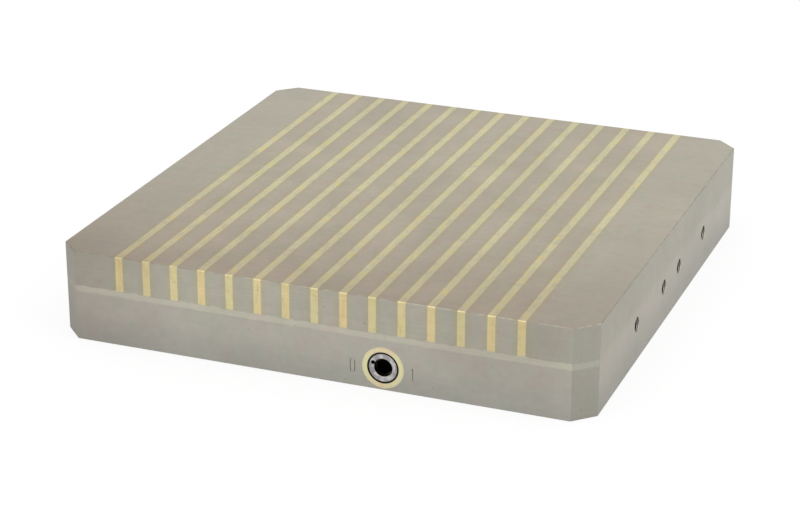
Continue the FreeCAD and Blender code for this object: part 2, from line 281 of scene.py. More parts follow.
@dataclass(frozen=True)
class Ground(Finish):
    """Metal ground flush with its neighbours: grinding lines, soft clouding and a brazed seam.

    The lines run along X on the top, the front and the rear and along Y on the ends.  The cut
    corners are milled, so their marks stand upright.  The colour is the top's and the drift
    colour the sides', a cooler tone of the same steel as painted light; the corners and the seam
    have their own.  What ends in painted shade, darkening or tint only darkens or colours the
    metal under it.
    """

    # The cut corners' own tone, with painted shade in it.
    corner: str = "9e9c92"
    seam: str = "bbb7a9"
    # Painted shade for the insides of holes and for the pits.
    hollow_shade: str = "2b2926"
    pink_tint: str = "fff8fa"
    green_tint: str = "f8fcf8"
    # Colours of painted shade on the top's front part, by the foot and on the front's left end, then of a darker
    # patch on the front.
    top_front_shade: str = "ebe5e4"
    foot_shade: str = "f3f6f8"
    left_end_shade: str = "ebe7e6"
    front_right_darkening: str = "f5f5f4"
    outline: Outline = Outline()
    top_front_shade_reach: float = 200.0
    left_end_shade_reach: float = 75.0
    front_right_darkening_x: float = 105.0
    front_right_darkening_reach: float = 50.0
    front_right_darkening_core: float = 15.0
    foot_height: float = 22.0
    ripple_size: float = 5.0
    line_width: float = 0.9
    line_length: float = 70.0
    line_tone: float = 0.06
    cloud_size: float = 34.0
    cloud_tone: float = 0.05
    patch_size: float = 9.0
    mottle_size: float = 4.0
    mottle_tone: float = 0.015
    pit_size: float = 1.6
    seam_wander: float = 0.9
    # Painted shade along the bevels below 0; the brass sets a painted highlight above 0.
    bevel_light_tone: float = -0.3

    def corner_share(self, tree: bpy.types.NodeTree, place: Place) -> Node:
        """Tells the four cut corners, which face halfway between X and Y.

        Args:
            tree: The tree that gets the nodes.
            place: Where a point lies and faces.

        Returns:
            1 on the corners and 0 elsewhere.
        """
        apart = add(tree, "Math", (place.facing_x, place.facing_y), operation="SUBTRACT")
        apart = add(tree, "Math", (apart,), operation="ABSOLUTE")
        apart = add(tree, "Math", (apart, place.facing_z), operation="ADD")
        return add(tree, "MapRange", (apart, 0.1, 0.3, 1.0, 0.0))

    def lines(self, tree: bpy.types.NodeTree, place: Place, corner: Node) -> Node:
        """Grinding marks, stretched along the way the wheel crossed each face.

        Real marks are 0.1 mm apart, too fine to show, so they are drawn 0.9 mm apart.

        Args:
            tree: The tree that gets the nodes.
            place: Where a point lies and faces.
            corner: 1 on the cut corners.

        Returns:
            The marks' height from 0 to 1.
        """
        across, along = 1.0 / self.line_width, 1.0 / self.line_length
        on_end = add(tree, "MapRange", (place.facing_x, 0.85, 0.95))
        level = {0: on_end, 4: (along, across, across), 5: (across, along, across)}
        upright = {0: corner, 4: add(tree, "Mix", level, data_type="VECTOR").outputs[1]}
        upright[5] = (across, across, along * 3.0)
        stretch = add(tree, "Mix", upright, data_type="VECTOR").outputs[1]
        point = add(tree, "VectorMath", (place.point, stretch), operation="MULTIPLY")
        return add(tree, "TexNoise", {"Vector": point, "Scale": 1.0, "Detail": 3.0, "Roughness": 0.65})

    def metal(self, tree: bpy.types.NodeTree, place: Place) -> Socket:
        """The bare metal: one tone on top and, as painted light, a cooler one on the sides."""
        # The sides' tone is painted light on the same steel.
        on_side = add(tree, "MapRange", (place.facing_z, 0.4, 0.9, 1.0, 0.0))
        return coats(tree, linear(self.colour), (on_side, self.drift))

    def paint_shade_and_darken(self, tree: bpy.types.NodeTree, place: Place, colour: Socket, corner: Node) -> Socket:
        """Paints shade into the metal, and darkens it a little round one place on the front.

        Painted shade darkens the top's front part, the front's left end, and the foot but not the
        cut corners; the front is also a shade darker round x = 105 mm, beside the key.

        Args:
            tree: The tree that gets the nodes.
            place: Where a point lies and faces.
            colour: The metal's colour so far.
            corner: 1 on the cut corners.

        Returns:
            The darkened colour.
        """
        front, left = -self.outline.half_y, -self.outline.half_x
        near = add(tree, "MapRange", (place.y, front, front + self.top_front_shade_reach, 1.0, 0.0))
        near = add(tree, "Math", (near, near), operation="MULTIPLY")
        on_front = add(tree, "MapRange", (place.facing_y, 0.4, 0.8))
        # Painted shade on the top's front part.
        top_front_shaded = add(tree, "MapRange", (place.facing_z, 0.4, 0.9, 0.4, 1.0))
        top_front_shaded = add(tree, "Math", (top_front_shaded, on_front), operation="SUBTRACT", use_clamp=True)
        top_front_shaded = add(tree, "Math", (top_front_shaded, near), operation="MULTIPLY")
        # Painted shade by the foot, darker and cooler.
        foot = add(tree, "MapRange", (place.z, self.foot_height, 4.0), interpolation_type="SMOOTHSTEP")
        foot = add(tree, "Math", (foot, corner), operation="SUBTRACT", use_clamp=True)
        # Painted shade on the front's left end.
        left_end_shaded = add(
            tree, "MapRange", (place.x, left, left + self.left_end_shade_reach, 1.0, 0.0), interpolation_type="SMOOTHSTEP"
        )
        left_end_shaded = add(tree, "Math", (left_end_shaded, near), operation="MULTIPLY")
        # A darker patch on the front round x = 105 mm.
        front_right_darkened = add(tree, "Math", (place.x, self.front_right_darkening_x), operation="SUBTRACT")
        front_right_darkened = add(tree, "Math", (front_right_darkened,), operation="ABSOLUTE")
        front_right_darkened = add(
            tree, "MapRange", (front_right_darkened, self.front_right_darkening_reach, self.front_right_darkening_core), interpolation_type="SMOOTHSTEP"
        )
        front_right_darkened = add(tree, "Math", (front_right_darkened, on_front), operation="MULTIPLY")
        front_right_darkened = add(tree, "Math", (front_right_darkened, foot), operation="SUBTRACT", use_clamp=True)
        layers = (
            (top_front_shaded, self.top_front_shade), (foot, self.foot_shade), (left_end_shaded, self.left_end_shade), (front_right_darkened, self.front_right_darkening),
        )
        return coats(tree, colour, *layers, blend="MULTIPLY")

    def tints(self, tree: bpy.types.NodeTree, place: Place, colour: Socket) -> Socket:
        """Small patches a shade pinker or greener, as steel takes on under coolant, and a few pits darkened with
        painted shade.

        Args:
            tree: The tree that gets the nodes.
            place: Where a point lies and faces.
            colour: The metal's colour so far.

        Returns:
            The tinted colour.
        """
        patch = add(tree, "TexNoise", {"Vector": place.point, "Scale": 1.0 / self.patch_size, "Detail": 5.0})
        pinker = add(tree, "MapRange", (patch, 0.5, 0.72))
        greener = add(tree, "MapRange", (patch, 0.5, 0.28))
        pits = add(tree, "TexNoise", {"Vector": place.point, "Scale": 1.0 / self.pit_size, "Detail": 1.0})
        pits = add(tree, "MapRange", (pits, 0.775, 0.82, 0.0, 0.5))
        # Painted shade in the pits.
        colour = coats(tree, colour, (pits, self.hollow_shade))
        return coats(tree, colour, (pinker, self.pink_tint), (greener, self.green_tint), blend="MULTIPLY")

    def tone(self, tree: bpy.types.NodeTree, place: Place, lines: Node) -> Node:
        """Brightness: wide clouds, grinding lines, small mottling and a broken painted line along the bevels:
        painted shade on the steel and a painted highlight on the brass.

        Args:
            tree: The tree that gets the nodes.
            place: Where a point lies and faces.
            lines: The grinding marks' height.

        Returns:
            What the colour is multiplied by, about 1.
        """
        cloud = add(tree, "TexNoise", {"Vector": place.point, "Scale": 1.0 / self.cloud_size, "Detail": 4.0})
        cloud = add(tree, "MapRange", (cloud, 0.35, 0.65, 1.0 - self.cloud_tone, 1.0 + self.cloud_tone))
        streak = add(tree, "MapRange", (lines, 0.3, 0.7, 1.0 - self.line_tone, 1.0 + self.line_tone))
        mottle = add(tree, "TexNoise", {"Vector": place.point, "Scale": 1.0 / self.mottle_size, "Detail": 2.0})
        small = add(tree, "MapRange", (mottle, 0.35, 0.65, 1.0 - self.mottle_tone, 1.0 + self.mottle_tone))
        tone = add(tree, "Math", (cloud, streak), operation="MULTIPLY")
        tone = add(tree, "Math", (tone, small), operation="MULTIPLY")
        # Painted light on the bevels: shade for a tone under 0, highlight over 0.
        rim = add(tree, "Math", (place.facing_z, math.sqrt(0.5), 0.25), operation="COMPARE")
        broken = add(tree, "MapRange", (mottle, 0.35, 0.6, 0.0, self.bevel_light_tone))
        return add(tree, "Math", (rim, broken, tone), operation="MULTIPLY_ADD")

    def seam_share(self, tree: bpy.types.NodeTree, place: Place, corner: Node) -> Node:
        """Tells the brazed seam, with the uneven edge that the alloy leaves.

        The distance from the seam's middle line gets a slow wander and a quick ripple, most at
        the upper edge.  The seam shows faintly on the corners and hardly at all on the ends,
        where it is ground thin.

        Args:
            tree: The tree that gets the nodes.
            place: Where a point lies and faces.
            corner: 1 on the cut corners.

        Returns:
            1 inside the seam and 0 outside.
        """
        middle = (self.outline.seam_low + self.outline.seam_high) / 2.0
        half = (self.outline.seam_high - self.outline.seam_low) / 2.0
        wander = add(tree, "TexNoise", {"Vector": place.point, "Scale": 1.0 / self.ripple_size, "Detail": 4.0})
        wander = add(tree, "MapRange", (wander, 0.3, 0.7, -self.seam_wander / 2.0, self.seam_wander / 2.0))
        height = add(tree, "Math", (place.z, middle), operation="SUBTRACT")
        upper = add(tree, "MapRange", (height, -half, half, 0.4, 1.3))
        offset = add(tree, "Math", (height,), operation="ABSOLUTE")
        offset = add(tree, "Math", (wander, upper, offset), operation="MULTIPLY_ADD")
        share = add(tree, "MapRange", (offset, half - 0.35, half + 0.25, 1.0, 0.0), interpolation_type="SMOOTHSTEP")
        level = add(tree, "MapRange", (place.facing_x, 0.75, 0.95, 1.0, 0.15))
        faint = add(tree, "Math", (corner, -0.7, 1.0), operation="MULTIPLY_ADD")
        level = add(tree, "Math", (level, faint), operation="MULTIPLY")
        return add(tree, "Math", (share, level), operation="MULTIPLY")

    def hole_shade_share(self, tree: bpy.types.NodeTree, place: Place) -> Node:
        """Tells the insides of holes, which painted shade darkens, by their distance from the nearest outer plane.

        There are two planes for each of X, Y and Z, and the cut corners, where X and Y together
        fall short of their sum.

        Args:
            tree: The tree that gets the nodes.
            place: Where a point lies and faces.

        Returns:
            0 on the outer faces, rising to 1 half a millimetre down any hole.
        """
        outline = self.outline
        across = add(tree, "VectorMath", (place.point,), operation="ABSOLUTE")
        sizes = (outline.half_x, outline.half_y, outline.top)
        gaps = add(tree, "SeparateXYZ", (add(tree, "VectorMath", (sizes, across), operation="SUBTRACT"),)).outputs
        nearest = add(tree, "Math", (gaps[0], gaps[1]), operation="MINIMUM")
        level = add(tree, "Math", (gaps[2], place.z), operation="MINIMUM")
        nearest = add(tree, "Math", (nearest, level), operation="MINIMUM")
        corner = add(tree, "Math", (gaps[0], gaps[1]), operation="ADD")
        corner = add(tree, "Math", (corner, outline.corner_leg), operation="SUBTRACT")
        corner = add(tree, "Math", (corner, math.sqrt(0.5)), operation="MULTIPLY")
        nearest = add(tree, "Math", (nearest, corner), operation="MINIMUM")
        return add(tree, "MapRange", (nearest, 0.2, 0.5))

    def pattern(self, tree: bpy.types.NodeTree, place: Place) -> Look:
        """Bare metal, painted shade and darkening, milled corners, seam, tints, lines, and painted shade inside the
        holes.

        Args:
            tree: The tree that gets the nodes.
            place: Where a point lies and faces.

        Returns:
            Colour, roughness and height.
        """
        corner = self.corner_share(tree, place)
        lines = self.lines(tree, place, corner)
        seam = self.seam_share(tree, place, corner)
        colour = coats(tree, self.metal(tree, place), (corner, self.corner), (seam, self.seam))
        colour = self.tints(tree, place, self.paint_shade_and_darken(tree, place, colour, corner))
        tone = self.tone(tree, place, lines)
        colour = add(tree, "VectorMath", {0: colour, "Scale": tone}, operation="SCALE").outputs[0]
        # Painted shade inside the holes.
        colour = coats(tree, colour, (self.hole_shade_share(tree, place), self.hollow_shade))
        return Look(colour, self.gloss(tree, lines), lines)


@dataclass(frozen=True)
class Striped(Ground):
    """Metal of the striped plate, which knows where the brass strips lie: the steel of its poles."""

    smear: str = "fffdf3"
    pitch: float = 16.05
    width: float = 4.45
    last_strip: int = 7

    def nearest_strip(self, tree: bpy.types.NodeTree, place: Place) -> tuple[Node, Node]:
        """Finds the strip that lies nearest.

        Args:
            tree: The tree that gets the nodes.
            place: Where a point lies and faces.

        Returns:
            The strip's number, 0 in the middle, and how far right of its middle a point lies.
        """
        number = add(tree, "Math", (place.x, 1.0 / self.pitch, 0.5), operation="MULTIPLY_ADD")
        number = add(tree, "Math", (number,), operation="FLOOR")
        number = add(tree, "Clamp", (number, -self.last_strip, self.last_strip))
        return number, add(tree, "Math", (number, -self.pitch, place.x), operation="MULTIPLY_ADD")

    def metal(self, tree: bpy.types.NodeTree, place: Place) -> Socket:
        """Steel with a film of brass beside each strip, where the wheel has smeared it.

        Args:
            tree: The tree that gets the nodes.
            place: Where a point lies and faces.

        Returns:
            The bare metal's colour.
        """
        away = add(tree, "Math", (self.nearest_strip(tree, place)[1],), operation="ABSOLUTE")
        smeared = add(tree, "MapRange", (away, self.width / 2.0 + 3.5, self.width / 2.0 + 1.5))
        return coats(tree, super().metal(tree, place), (smeared, self.smear), blend="MULTIPLY")


@dataclass(frozen=True)
class GroundBrass(Striped):
    """Drawn brass ground flush with the poles: each strip has its own tone and a dull braze line."""

    end: str = "cfc69b"
    warm: str = "d5c193"
    braze: str = "a89878"
    pink_tint: str = "fffbf6"
    green_tint: str = "fbfdf5"

    def metal(self, tree: bpy.types.NodeTree, place: Place) -> Socket:
        """Pale on top with yellow flecks; yellower on the ends, whose middle is copper-red on some.  The paler top
        and yellower ends are painted light on one brass.

        How red a strip is follows a sine of its number, which never repeats evenly.

        Args:
            tree: The tree that gets the nodes.
            place: Where a point lies and faces.

        Returns:
            The bare metal's colour.
        """
        number, local = self.nearest_strip(tree, place)
        wave = add(tree, "Math", (number, 2.4, 5.15), operation="MULTIPLY_ADD")
        wave = add(tree, "Math", (wave,), operation="SINE")
        redder = add(tree, "MapRange", (wave, -1.0, 1.0, 0.1, 1.0))
        # The ends' yellower tone against the paler top is painted light.
        on_end = add(tree, "MapRange", (place.facing_y, 0.3, 0.6))
        redder = add(tree, "Math", (redder, on_end), operation="MULTIPLY")
        core = add(tree, "MapRange", (local, -2.0, -0.8, 0.2, 1.0))
        local = add(tree, "Math", (local,), operation="ABSOLUTE")
        edge = add(tree, "MapRange", (local, self.width / 2.0 - 0.4, self.width / 2.0, 0.0, 0.45))
        within = add(tree, "MapRange", (local, 1.2, 1.9, 1.0, 0.3))
        core = add(tree, "Math", (core, within), operation="MULTIPLY")
        redder = add(tree, "Math", (redder, core), operation="MULTIPLY")
        stretched = add(tree, "VectorMath", (place.point, (1.0 / 2.0, 1.0 / 7.0, 1.0 / 5.0)), operation="MULTIPLY")
        fleck = add(tree, "TexNoise", {"Vector": stretched, "Scale": 1.0, "Detail": 4.0})
        bright = add(tree, "MapRange", (fleck, 0.5, 0.68, 0.0, 0.9))
        dull = add(tree, "MapRange", (fleck, 0.47, 0.3, 0.0, 0.3))
        return coats(
            tree, linear(self.colour), (bright, self.drift), (on_end, self.end), (redder, self.warm),
            (edge, self.braze), (dull, self.braze),
        )


@dataclass(frozen=True)
class Turned(Finish):
    """Metal turned on a lathe: fine rings round the drive shaft's axis, and painted shade down its holes.

    The drift colour takes over at the top and the bottom of the ring, and patches of the face
    take the bright colour.
    """

    bright: str = "d4cc9e"
    hollow_shade: str = "3a332e"
    # Dark colour of the index spot, and painted shade at the ring gap's edges.
    paint: str = "120f0d"
    axis: tuple[float, float, float] = (38.0, -150.0, 12.5)
    ring_width: float = 0.45
    ring_tone: float = 0.08
    patch_size: float = 3.0
    open_depth: float = 0.25
    spot: tuple[float, float] = (0.0, 0.0)
    spot_radius: float = 0.0
    gap_radius: float = 8.22
    gap_half_width: float = 0.58

    def pattern(self, tree: bpy.types.NodeTree, place: Place) -> Look:
        """Rings by distance from the axis; real ones are 0.1 mm apart and are drawn 0.45 mm apart.

        The index spot is darkened out to a little past its edge, and painted shade darkens both
        edges of the ring gap round the shaft, widening its dark ring.

        Args:
            tree: The tree that gets the nodes.
            place: Where a point lies and faces.

        Returns:
            Colour, roughness, height, and the way round the axis.
        """
        centred = add(tree, "VectorMath", (place.point, self.axis), operation="SUBTRACT")
        spoke = add(tree, "VectorMath", (centred, (1.0, 0.0, 1.0)), operation="MULTIPLY")
        radius = add(tree, "VectorMath", (spoke,), operation="LENGTH").outputs["Value"]
        lift = add(tree, "SeparateXYZ", (add(tree, "VectorMath", (spoke,), operation="NORMALIZE"),)).outputs[2]
        lift = add(tree, "Math", (lift,), operation="ABSOLUTE")
        turn = add(tree, "CombineXYZ", (radius, place.y))
        rings = add(tree, "TexNoise", {"Vector": turn, "Scale": 1.0 / self.ring_width, "Detail": 2.0})
        patch = add(tree, "TexNoise", {"Vector": place.point, "Scale": 1.0 / self.patch_size, "Detail": 2.0})
        bright_patch = add(tree, "MapRange", (patch, 0.45, 0.62))
        drifted = add(tree, "MapRange", (lift, 0.6, 1.0))
        colour = coats(tree, linear(self.colour), (drifted, self.drift), (bright_patch, self.bright))
        tone = add(tree, "MapRange", (rings, 0.25, 0.75, 1.0 - self.ring_tone, 1.0 + self.ring_tone))
        colour = add(tree, "VectorMath", {0: colour, "Scale": tone}, operation="SCALE").outputs[0]
        # Painted shade down the holes, the darkened index spot, and painted shade at both edges of the ring gap.
        down = add(tree, "Math", (place.y, self.axis[1]), operation="SUBTRACT")
        inside = add(tree, "MapRange", (down, self.open_depth, self.open_depth + 0.6))
        away = (self.spot[0], 0.0, self.spot[1])
        away = add(tree, "VectorMath", (spoke, away), operation="DISTANCE").outputs["Value"]
        darkened_spot = add(tree, "MapRange", (away, self.spot_radius, self.spot_radius - 0.15))
        gap = add(tree, "Math", (radius, self.gap_radius), operation="SUBTRACT")
        gap = add(tree, "Math", (gap,), operation="ABSOLUTE")
        gap_shade = add(tree, "MapRange", (gap, self.gap_half_width, self.gap_half_width - 0.15))
        colour = coats(tree, colour, (inside, self.hollow_shade), (darkened_spot, self.paint), (gap_shade, self.paint))
        around = add(tree, "VectorMath", ((0.0, 1.0, 0.0), spoke), operation="CROSS_PRODUCT")
        way = {"vector_type": "VECTOR", "convert_from": "OBJECT", "convert_to": "WORLD"}
        return Look(colour, self.gloss(tree, rings), rings, add(tree, "VectorTransform", (around,), **way))


@dataclass(frozen=True)
class Grained(Finish):
    """An even surface with a grain: moulded, sintered, blackened, milled or inked."""

    grain: tuple[float, float, float] = (0.6, 0.6, 0.6)
    cloud_size: float = 12.0

    def pattern(self, tree: bpy.types.NodeTree, place: Place) -> Look:
        """A fine grain, sized along X, Y and Z, over wide soft clouds between the two tones.

        Args:
            tree: The tree that gets the nodes.
            place: Where a point lies and faces.

        Returns:
            Colour, roughness and height.
        """
        scale = tuple(1.0 / size for size in self.grain)
        stretched = add(tree, "VectorMath", (place.point, scale), operation="MULTIPLY")
        grain = add(tree, "TexNoise", {"Vector": stretched, "Scale": 1.0, "Detail": 4.0})
        cloud = add(tree, "TexNoise", {"Vector": place.point, "Scale": 1.0 / self.cloud_size, "Detail": 2.0})
        both = add(tree, "Math", (grain, cloud), operation="ADD")
        share = add(tree, "MapRange", (both, 0.7, 1.3))
        colour = coats(tree, linear(self.colour), (share, self.drift))
        return Look(colour, self.gloss(tree, grain), grain)


@dataclass(frozen=True)
class Threaded(Grained):
    """Cut threads: painted glints on the crests over roots dark with painted shade, told apart by the mesh's own
    attribute.
    """

    # Painted glint on the crests.
    crest_glint: str = "b5b1a4"

    def pattern(self, tree: bpy.types.NodeTree, place: Place) -> Look:
        """The grain in the roots, with a painted glint of bright metal at the crests.

        Args:
            tree: The tree that gets the nodes.
            place: Where a point lies and faces.

        Returns:
            Colour, roughness and height.
        """
        look = super().pattern(tree, place)
        crest_glint = add(tree, "Attribute", attribute_name="crest_glint").outputs["Fac"]
        # Painted glint at the crests.
        bare = add(tree, "MapRange", (crest_glint, 0.5, 0.95))
        return Look(coats(tree, look.colour, (bare, self.crest_glint)), look.roughness, look.height)


@dataclass(frozen=True)
class Inked(Grained):
    """Old ink in an engraved line, fading to the steel's colour towards the line's top and bottom."""

    faded_colour: str = "a39f94"
    middle_z: float = 11.2
    kept_half_height: float = 2.8

    def pattern(self, tree: bpy.types.NodeTree, place: Place) -> Look:
        """The grain, with bare steel taking over away from the numeral's middle.

        Args:
            tree: The tree that gets the nodes.
            place: Where a point lies and faces.

        Returns:
            Colour, roughness and height.
        """
        look = super().pattern(tree, place)
        away = add(tree, "Math", (place.z, self.middle_z), operation="SUBTRACT")
        away = add(tree, "Math", (away,), operation="ABSOLUTE")
        bare = add(tree, "MapRange", (away, self.kept_half_height, self.kept_half_height + 1.1, 0.0, 0.9))
        return Look(coats(tree, look.colour, (bare, self.faded_colour)), look.roughness, look.height)


# ---- the chuck's sub-assemblies --------------------------------------------------------
@dataclass
class SubAssembly:
    """What all sub-assemblies share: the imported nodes, and the way that a piece is dressed."""

    nodes: dict[str, bpy.types.Object]

    def build(self) -> None:
        """Makes the new pieces; most sub-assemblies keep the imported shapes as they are."""

    def dress(self) -> None:
        """Gives each piece its finish."""
        raise NotImplementedError

    def paint(self, finish: Finish, *names: str) -> None:
        """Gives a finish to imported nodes.

        Args:
            finish: What the metal or rubber looks like.
            names: The nodes' names, or the start of several nodes' names with a star.
        """
        for pattern in names:
            start = pattern.rstrip("*")
            found = [name for name in self.nodes if name == pattern or (start != pattern and name.startswith(start))]
            for name in sorted(found):
                piece = self.nodes[name]
                for slot in piece.material_slots:
                    slot.material = finish.material()
                LOG.info("%s: %s", name, finish.name)


@dataclass
class Mark:
    """One engraved numeral: a round-bottomed groove along a line on the front face."""

    name: str
    centre_x: float
    centre_z: float
    half_width: float
    half_height: float
    closed: bool

    def line(self) -> np.ndarray:
        """Points along the numeral's middle line, in millimetres on the face.

        The nought is a superellipse: each coordinate is its half size times the cosine or sine
        of the angle, raised to a power under 1, which squares its shoulders.  The one is an
        upright with a short flag, each leg divided evenly.

        Returns:
            X and Z of each point.
        """
        if self.closed:
            angle = np.linspace(0.0, 2.0 * np.pi, 96, endpoint=False)
            power = 0.62
            x = self.half_width * np.sign(np.cos(angle)) * np.abs(np.cos(angle)) ** power
            z = self.half_height * np.sign(np.sin(angle)) * np.abs(np.sin(angle)) ** power
        else:
            legs = np.array([(-self.half_width, 0.72), (0.0, 1.0), (0.0, -1.0)])
            steps = np.concatenate([np.linspace(0.0, 1.0, 12, endpoint=False), np.linspace(1.0, 2.0, 30)])
            x = np.interp(steps, [0.0, 1.0, 2.0], legs[:, 0])
            z = np.interp(steps, [0.0, 1.0, 2.0], legs[:, 1]) * self.half_height
        return np.stack([x + self.centre_x, z + self.centre_z], axis=1)


@dataclass
class Housing(SubAssembly):
    """The hollow body with its engraved front, the threads in its rail holes and its glides."""

    steel: Ground = field(default_factory=lambda: BODY_STEEL)
    groove_radius: float = 0.24
    groove_depth: float = 0.16
    groove_sides: int = 12
    thread_pitch: float = 1.25
    thread_depth: float = 0.62
    thread_turns: int = 10
    points_per_turn: int = 48
    points_per_pitch: int = 10
    weld: float = 2e-6

    def build(self) -> None:
        """Engraves the body and threads the rail holes."""
        self.engraved = self.engrave()
        self.threads = self.cut_threads()

    def marks(self) -> list[Mark]:
        """The nought left of the shaft and the one right of it, about level with its axis.

        Returns:
            Both numerals.
        """
        low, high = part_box("front_bush")
        shaft_x, shaft_z = (low.x + high.x) / 2.0 / MM, (low.z + high.z) / 2.0 / MM
        return [
            Mark("nought", shaft_x - 16.85, shaft_z - 0.8, 1.25, 4.1, True),
            Mark("one", shaft_x + 16.4, shaft_z - 1.8, 0.75, 4.2, False),
        ]

    def groove(self, mark: Mark, face_y: float) -> bpy.types.Object:
        """A round bar along a numeral's line, which cuts its groove.

        A point is the line's point, plus the radius times the cosine of the bar's angle along
        the line's own normal, and times its sine along Y.  The bar's axis lies outside the face
        by the radius less the groove's depth.

        Args:
            mark: The numeral.
            face_y: Y of the front face in millimetres.

        Returns:
            The bar, to be taken away from the body.
        """
        line = mark.line()
        before = np.roll(line, 1, axis=0)
        after = np.roll(line, -1, axis=0)
        if not mark.closed:
            before[0], after[-1] = line[0], line[-1]
        way = after - before
        way /= np.linalg.norm(way, axis=1, keepdims=True)
        normal = np.stack([way[:, 1], -way[:, 0]], axis=1)
        angle = np.linspace(0.0, 2.0 * np.pi, self.groove_sides, endpoint=False)
        out = self.groove_radius * np.cos(angle)
        x = line[:, None, 0] + normal[:, None, 0] * out[None]
        z = line[:, None, 1] + normal[:, None, 1] * out[None]
        axis_y = face_y - (self.groove_radius - self.groove_depth)
        y = np.broadcast_to(axis_y + self.groove_radius * np.sin(angle), x.shape)
        points = np.stack([x, y, z], axis=-1).reshape(-1, 3) * MM
        rows = len(line)
        faces = grid_faces(rows, self.groove_sides, mark.closed, True).tolist()
        if not mark.closed:
            ring = np.arange(self.groove_sides)
            faces += [ring.tolist(), (ring + (rows - 1) * self.groove_sides)[::-1].tolist()]
        cutter = new_piece(f"{mark.name}_cutter", points, faces)
        cutter.data.materials.append(ENGRAVING.material())
        return cutter

    def engrave(self) -> bpy.types.Object:
        """Copies the body, merges its triangles and cuts the two numerals out of it.

        Returns:
            The engraved body.
        """
        source = self.nodes["lower_body"]
        mesh = source.data.copy()
        mesh.attributes.remove(mesh.attributes["custom_normal"])
        shape = bmesh.new()
        shape.from_mesh(mesh)
        bmesh.ops.remove_doubles(shape, verts=shape.verts, dist=self.weld)
        shape.to_mesh(mesh)
        shape.free()
        piece = bpy.data.objects.new("engraved_body", mesh)
        bpy.context.scene.collection.objects.link(piece)
        mesh.materials.clear()
        mesh.materials.append(self.steel.material())
        face_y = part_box("lower_body")[0].y / MM
        for mark in self.marks():
            cutter = self.groove(mark, face_y)
            cut = piece.modifiers.new(mark.name, "BOOLEAN")
            cut.operation, cut.solver, cut.object, cut.material_mode = "DIFFERENCE", "MANIFOLD", cutter, "TRANSFER"
            shaped = piece.evaluated_get(bpy.context.evaluated_depsgraph_get())
            finished = bpy.data.meshes.new_from_object(shaped)
            piece.modifiers.clear()
            piece.data = finished
            bpy.data.objects.remove(cutter)
        self.shade(piece.data)
        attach(piece, Body.HOUSING.value)
        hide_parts("lower_body")
        return piece

    def shade(self, mesh: bpy.types.Mesh) -> None:
        """Shades the flat faces flat, and smooths the round walls of the holes and grooves.

        A face is flat if one part of its normal is almost 1, or if it lies on a cut corner.

        Args:
            mesh: The engraved body's mesh.
        """
        normals = np.empty(len(mesh.polygons) * 3)
        mesh.polygons.foreach_get("normal", normals)
        size = np.abs(normals.reshape(-1, 3))
        flat = (size.max(axis=1) > 0.9999) | (np.abs(size[:, 0] - size[:, 1]) < 0.001)
        mesh.shade_smooth()
        mesh.polygons.foreach_set("use_smooth", ~flat)
        mesh.set_sharp_from_angle(angle=math.radians(30.0))

    def cut_threads(self) -> bpy.types.Object:
        """Makes the threaded sleeves that line the four rail holes.

        Going round by an angle, the wall's radius at a depth is the crest's radius plus the
        thread's depth times a triangle wave of the depth less the pitch times the turn, with
        flat crests and roots.  The sleeve's back is a plain cylinder just under the hole's wall.

        Returns:
            The four sleeves as one piece.
        """
        record_mounts = FRAME["record"]["mounts"]
        holes = [mount for mount in record_mounts if mount["name"].startswith("rail_holes")]
        half_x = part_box("lower_body")[1].x / MM
        depth = self.thread_pitch * self.thread_turns
        stations = np.linspace(0.0, depth, self.thread_turns * self.points_per_pitch + 1)
        angle = np.linspace(0.0, 2.0 * np.pi, self.points_per_turn, endpoint=False)
        points, faces, crests = [], [], []
        for mount in holes:
            height = mount["pos_m"][2] / MM
            major = mount["dims"]["hole_r_mm"]
            half_spacing = mount["dims"]["spacing_x_mm"] / 2.0
            phase = (stations[None] / self.thread_pitch - angle[:, None] / (2.0 * np.pi)) % 1.0
            wave = np.clip(np.abs(phase - 0.5) * 2.6 - 0.15, 0.0, 1.0)
            wall = major - 0.04 - self.thread_depth * (1.0 - wave)
            crest_glint = np.concatenate([1.0 - wave, np.zeros((len(angle), 2))], axis=1)
            back = np.full((len(angle), 2), major - 0.02)
            radius = np.concatenate([wall, back], axis=1)
            along = np.concatenate([stations, [depth, 0.0]])
            mouth = half_x - 0.42
            for side in (-half_spacing, half_spacing):
                y = side + radius * np.cos(angle)[:, None]
                z = height + radius * np.sin(angle)[:, None]
                x = np.broadcast_to(mouth - along[None], y.shape)
                start = sum(len(block) for block in points)
                points.append(np.stack([x, y, z], axis=-1).reshape(-1, 3) * MM)
                faces.append(grid_faces(*radius.shape, True, True) + start)
                crests.append(crest_glint.reshape(-1))
        piece = new_piece("rail_hole_threads", np.concatenate(points), np.concatenate(faces), 50.0)
        piece.data.attributes.new("crest_glint", "FLOAT", "POINT").data.foreach_set("value", np.concatenate(crests))
        piece.data.materials.append(THREAD_STEEL.material())
        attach(piece, Body.HOUSING.value)
        return piece

    def dress(self) -> None:
        """Glides, whose bronze only shows with the chuck opened; the body is dressed as it is cut."""
        self.paint(BRONZE, "glide_strips")
        LOG.info("%s: %s", self.engraved.name, self.steel.name)
        LOG.info("%s: %s", self.threads.name, THREAD_STEEL.name)


@dataclass
class PolePlate(SubAssembly):
    """Steel poles and brass strips over the brazed seam, ground as one face."""

    def dress(self) -> None:
        """Poles, strips and seam; all of them share the wandering edge of the braze."""
        self.paint(POLE_STEEL, "pole_bar_*")
        self.paint(END_STEEL, "end_pole_*")
        self.paint(STRIP_BRASS, "brass_strip_*")
        self.paint(SEAM_ALLOY, "seam_frame")


